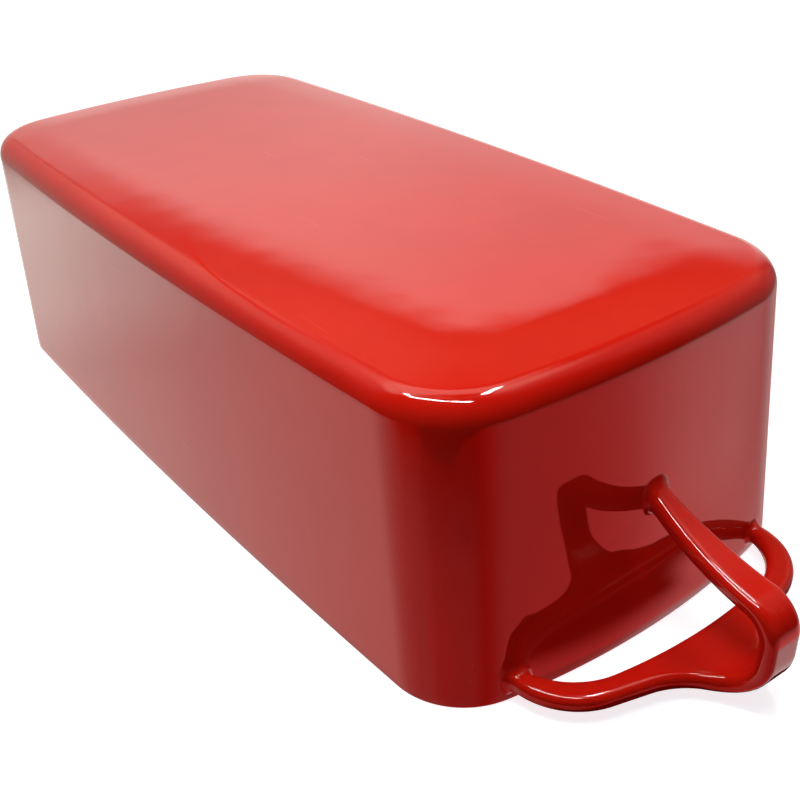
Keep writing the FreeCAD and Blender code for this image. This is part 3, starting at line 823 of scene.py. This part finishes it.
glow(1.0, (1.0, 0.98, 0.93), wall_tone, between(round_back, -32.0, -16.0, 24.0, 42.0), below_top,
     step(el, -70.0, -15.0))
# left wall
glow(0.56, (1.0, 0.95, 0.84), between(round_back, 24.0, 42.0, 60.0, 98.0), step(el, -26.0, -12.0))
# table on the left, seen by the long wall
glow(0.92, (1.0, 0.96, 0.89), between(round_back, 22.0, 47.0, 88.0, 132.0),
     calc("SUBTRACT", 1.0, step(el, -17.5, -14.0)), step(el, -75.0, -25.0))
glow(0.30, (1.0, 0.96, 0.89), between(turn, -130.0, -120.0, -112.0, -104.0), between(el, -26.0, -22.0, -18.5, -16.0))
# right wall and the table below it
glow(0.24, (1.0, 0.92, 0.85), between(round_back, -92.0, -74.0, -40.0, -20.0), step(el, -26.0, -12.0))
table_right = calc("ADD", calc("MULTIPLY", step(turn, 25.0, 60.0), 0.22), calc("MULTIPLY", step(turn, 76.0, 100.0), 0.32))
table_right = calc("ADD", table_right, calc("MULTIPLY", between(turn, 84.0, 98.0, 106.0, 116.0),
                                            calc("MULTIPLY", step(el, -33.0, -27.0), 0.30)))
table_right = calc("ADD", table_right, calc("MULTIPLY", step(el, -34.0, -44.0), calc("MULTIPLY", step(turn, 86.0, 102.0), 0.45)))
glow(1.0, (1.0, 0.97, 0.94), step(turn, 162.0, 140.0), calc("SUBTRACT", 1.0, step(el, -18.0, -10.0)), table_right)
# glow over the far half below the lamps
glow_low = calc("ADD", 42.0, calc("MULTIPLY", step(round_back, -5.0, -28.0), 8.0))
glow(1.6, (1.0, 0.88, 0.74), between(round_back, -76.0, -36.0, 76.0, 92.0),
     step(calc("SUBTRACT", el, glow_low), 0.0, 9.0), step(el, 72.0, 66.0))
# ceiling
glow(0.30, (1.0, 0.75, 0.45), step(el, 20.0, 34.0), between(round_back, -80.0, -40.0, 60.0, 90.0),
     calc("SUBTRACT", 1.0, calc("MULTIPLY", step(el, 33.0, 41.0), 0.75)))
glow(0.16, (1.0, 0.85, 0.70), step(el, 16.0, 26.0), between(round_back, 4.0, 16.0, 30.0, 44.0))
# table under the near corner
glow(1.0, (1.0, 0.98, 0.92), calc("SUBTRACT", 1.0, step(el, -31.0, -23.0)),
     calc("ADD", calc("MULTIPLY", between(turn, -78.0, -50.0, -46.0, -22.0), 0.28),
          calc("MULTIPLY", between(turn, -50.0, -24.0, 10.0, 40.0), 0.15)))
# the table's red tone, which shows only in the glaze
ray = wt.nodes.new("ShaderNodeLightPath")
red_long = calc("MULTIPLY", calc("ADD", 0.32, calc("MULTIPLY", step(turn, -122.0, -88.0), 0.78)),
                calc("MULTIPLY", step(turn, -52.0, -84.0), step(el, -18.0, -28.0)))
off_corner = calc("MAXIMUM", step(turn, 14.0, 42.0), step(turn, -26.0, -50.0))
red_edge = calc("ADD", calc("MULTIPLY", step(turn, -2.0, 20.0), 2.5),
                calc("ADD", calc("MULTIPLY", step(turn, 20.0, 45.0), 4.0), calc("MULTIPLY", step(turn, -28.0, -42.0), 9.0)))
red_edge = calc("SUBTRACT", red_edge, 25.2)
red_soft = calc("ADD", 0.7, calc("MULTIPLY", step(turn, 20.0, 50.0), 3.5))
red_on = step(calc("DIVIDE", calc("SUBTRACT", red_edge, el), red_soft), -1.0, 1.0)
red_near = calc("ADD", calc("ADD", 1.2, calc("MULTIPLY", off_corner, 1.25)),
                calc("MULTIPLY", calc("SUBTRACT", 1.0, off_corner), calc("MULTIPLY", step(el, -26.0, -36.0), 1.3)))
# on the right the red grows weaker with the turn and with the depth
red_near = calc("MULTIPLY", red_near, calc("ADD", calc("MULTIPLY", step(turn, 136.0, 82.0), 0.86), 0.14))
red_near = calc("MULTIPLY", red_near, calc("SUBTRACT", 1.0, calc("MULTIPLY", calc("MULTIPLY", step(el, -36.0, -43.0), step(turn, 40.0, 70.0)), 0.6)))
red_near = calc("MULTIPLY", red_near, calc("MULTIPLY", red_on, step(turn, -84.0, -52.0)))
red_near = calc("MULTIPLY", red_near, calc("SUBTRACT", 1.0, calc("MULTIPLY", step(turn, -28.0, -44.0), 0.3)))
glow(1.0, (1.0, 0.0, 0.0), ray.outputs["Is Glossy Ray"], calc("ADD", red_long, red_near))

total = parts[0]
for p in parts[1:]:
    node = wt.nodes.new("ShaderNodeVectorMath")
    node.operation = "ADD"
    wt.links.new(total, node.inputs[0])
    wt.links.new(p, node.inputs[1])
    total = node.outputs["Vector"]
pale = wt.nodes.new("ShaderNodeMix")
pale.data_type = "RGBA"
wt.links.new(ray.outputs["Is Camera Ray"], pale.inputs["Factor"])
wt.links.new(total, pale.inputs["A"])
pale.inputs["B"].default_value = (0.93, 0.93, 0.93, 1)
wt.links.new(pale.outputs["Result"], background.inputs["Color"])
background.inputs["Strength"].default_value = 1.0

LAMP_HEIGHT = 0.62
LAMP_AT = Vector((0.10, -0.04, 0.08))


def lamp(name, start, end, width, radiance, mirrored_only=False):
    """Narrow lamp between two places given in lamp heights from straight above."""
    a = LAMP_AT + LAMP_HEIGHT * Vector((start[0], start[1], 1.0))
    b = LAMP_AT + LAMP_HEIGHT * Vector((end[0], end[1], 1.0))
    data = bpy.data.lights.new(name, "AREA")
    data.shape = "RECTANGLE"
    data.size, data.size_y = (b - a).length, width * LAMP_HEIGHT
    data.energy = radiance * math.pi * data.size * data.size_y
    data.color = (1.0, 0.985, 0.96)
    ob = bpy.data.objects.new(name, data)
    bpy.context.scene.collection.objects.link(ob)
    ob.location = (a + b) / 2
    ob.rotation_euler = (0, 0, math.atan2(b.y - a.y, b.x - a.x))
    if mirrored_only:
        ob.visible_diffuse = False
    return ob


def fill(name, azimuth, elevation, power, target=(0, 0, 0), distance=1.6, size=1.2):
    """Broad soft light that the glaze doesn't mirror."""
    data = bpy.data.lights.new(name, "AREA")
    data.shape = "RECTANGLE"
    data.size, data.size_y = size, size * 0.67
    data.energy = power
    ob = bpy.data.objects.new(name, data)
    bpy.context.scene.collection.objects.link(ob)
    a, e = math.radians(azimuth), math.radians(elevation)
    away = Vector((math.cos(a) * math.cos(e), math.sin(a) * math.cos(e), math.sin(e)))
    ob.location = Vector(target) + away * distance
    ob.rotation_euler = away.to_track_quat("Z", "Y").to_euler()
    ob.visible_glossy = False
    return ob


fill("fill_left", 238.0, 8.0, 2.2)
fill("fill_right", 24.0, 8.0, 1.2)
fill("fill_near", 285.0, 72.0, 0.20, (0.12, -0.05, 0.07), 0.30, 0.20)

LAMPS = [("left", (-0.47, -0.25), (-0.37, -0.36)), ("middle", (-0.35, -0.38), (0.07, -0.15)),
         ("right", (0.09, -0.14), (0.31, -0.02)), ("back_right", (0.01, 0.29), (-0.12, 0.42)),
         ("back", (-0.14, 0.44), (-0.27, 0.58))]
for label, start, end in LAMPS:
    lamp("lamp_" + label, start, end, 0.06, 30)
    lamp("core_" + label, start, end, 0.075, 90, True)

# ------------------------------------------------------------------ camera
F_PX, PX, PY = 1066.533, 442.076, 478.622
RV = np.array([2.02246555, 0.95690126, -0.54007962])
CAM = np.array([259.529, -157.273, 183.408])


def rotation(rv):
    th = np.linalg.norm(rv)
    k = rv / th
    K = np.array([[0, -k[2], k[1]], [k[2], 0, -k[0]], [-k[1], k[0], 0]])
    return np.eye(3) + math.sin(th) * K + (1 - math.cos(th)) * K @ K


R = rotation(RV)
camera_data = bpy.data.cameras.new("photo_camera")
camera = bpy.data.objects.new("photo_camera", camera_data)
bpy.context.scene.collection.objects.link(camera)
camera_data.sensor_width = 36.0
camera_data.sensor_fit = "HORIZONTAL"
camera_data.lens = 36.0 * F_PX / 800.0
camera_data.shift_x = -(PX - 400.0) / 800.0
camera_data.shift_y = (PY - 400.0) / 800.0
camera_data.clip_start = 0.01
M = Matrix(((R[0][0], -R[1][0], -R[2][0], CAM[0] * MM),
            (R[0][1], -R[1][1], -R[2][1], CAM[1] * MM),
            (R[0][2], -R[1][2], -R[2][2], CAM[2] * MM),
            (0, 0, 0, 1)))
camera.matrix_world = M
bpy.context.scene.camera = camera
bpy.context.scene.view_settings.view_transform = "Standard"
